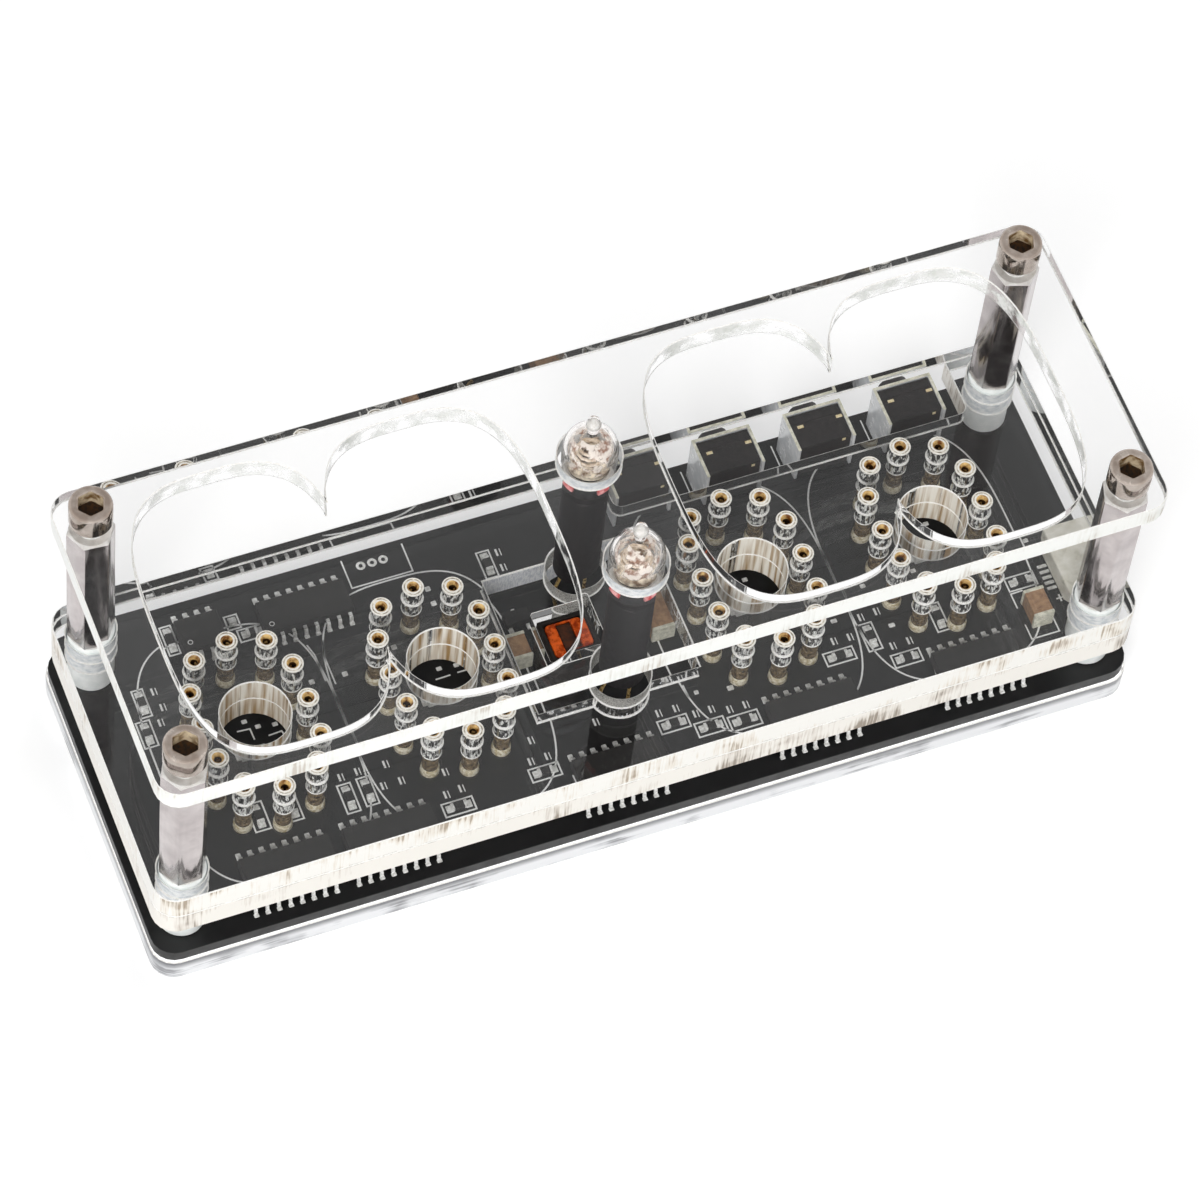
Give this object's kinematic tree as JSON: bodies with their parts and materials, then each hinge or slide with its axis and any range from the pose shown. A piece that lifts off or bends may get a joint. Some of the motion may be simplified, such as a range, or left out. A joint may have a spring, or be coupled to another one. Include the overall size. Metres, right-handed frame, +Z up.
{
  "type": "tube clock",
  "caption": "Desk clock for display tubes: a circuit board under clear cover sheets, a windowed top sheet on hex standoffs, open pin sockets and two neon colon lamps.",
  "frame": {"origin": "centre between the four corner screws at the underside of the base sheet", "axes": "+X along the clock to the power inlet's end, +Y to the back edge with the push buttons, +Z up"},
  "size_m": [0.1113, 0.0393, 0.0446],
  "materials": {
    "clear_sheet": "polished",
    "board": "satin",
    "nylon": "satin",
    "nickel": "polished",
    "steel": "polished",
    "socket_metal": "plated",
    "led_white": "matte",
    "lamp_glass": "clear",
    "sleeve": "matte",
    "switch_black": "matte",
    "bracket": "plated",
    "chip_black": "matte",
    "ceramic_brown": "satin",
    "inlet_metal": "plated",
    "ferrite": "matte",
    "copper": "lacquered"
  },
  "bodies": {
    "clock": {"base_plate": "clear_sheet", "circuit_board": "board", "lower_cover_plate": "clear_sheet", "upper_cover_plate": "clear_sheet", "top_plate": "clear_sheet", "spacer_1": "nylon", "standoff_1": "nickel", "top_screw_1": "steel", "bottom_screw_1": "steel", "spacer_2": "nylon", "standoff_2": "nickel", "top_screw_2": "steel", "bottom_screw_2": "steel", "spacer_3": "nylon", "standoff_3": "nickel", "top_screw_3": "steel", "bottom_screw_3": "steel", "spacer_4": "nylon", "standoff_4": "nickel", "top_screw_4": "steel", "bottom_screw_4": "steel", "tube_socket_1": "socket_metal", "digit_led_1": "led_white", "tube_socket_2": "socket_metal", "digit_led_2": "led_white", "tube_socket_3": "socket_metal", "digit_led_3": "led_white", "tube_socket_4": "socket_metal", "digit_led_4": "led_white", "lamp_bulb_back": "lamp_glass", "lamp_sleeve_back": "sleeve", "lamp_bulb_front": "lamp_glass", "lamp_sleeve_front": "sleeve", "switch_body_1": "switch_black", "switch_bracket_1": "bracket", "switch_body_2": "switch_black", "switch_bracket_2": "bracket", "switch_body_3": "switch_black", "switch_bracket_3": "bracket", "switch_body_4": "switch_black", "switch_bracket_4": "bracket", "driver_chip_1": "chip_black", "driver_chip_2": "chip_black", "driver_chip_3": "chip_black", "driver_chip_4": "chip_black", "driver_chip_5": "chip_black", "controller_chip": "chip_black", "timekeeper_chip": "chip_black", "supply_capacitor": "ceramic_brown", "boost_capacitor": "ceramic_brown", "inlet_capacitor": "ceramic_brown", "boost_transistor": "chip_black", "inductor_case": "ferrite", "inductor_winding": "copper", "power_inlet_shell": "inlet_metal", "power_inlet_tongue": "switch_black"},
    "button_1": {"button_plunger_1": "switch_black"},
    "button_2": {"button_plunger_2": "switch_black"},
    "button_3": {"button_plunger_3": "switch_black"},
    "button_4": {"button_plunger_4": "switch_black"}
  },
  "joints": [
    {"name": "press_button_1", "type": "slide", "parent": "clock", "child": "button_1", "axis": [0, -1, 0], "range_m": [0, 0.00025], "stiffness_N_per_m": 4000, "springref_m": -0.0001},
    {"name": "press_button_2", "type": "slide", "parent": "clock", "child": "button_2", "axis": [0, -1, 0], "range_m": [0, 0.00025], "stiffness_N_per_m": 4000, "springref_m": -0.0001},
    {"name": "press_button_3", "type": "slide", "parent": "clock", "child": "button_3", "axis": [0, -1, 0], "range_m": [0, 0.00025], "stiffness_N_per_m": 4000, "springref_m": -0.0001},
    {"name": "press_button_4", "type": "slide", "parent": "clock", "child": "button_4", "axis": [0, -1, 0], "range_m": [0, 0.00025], "stiffness_N_per_m": 4000, "springref_m": -0.0001}
  ]
}
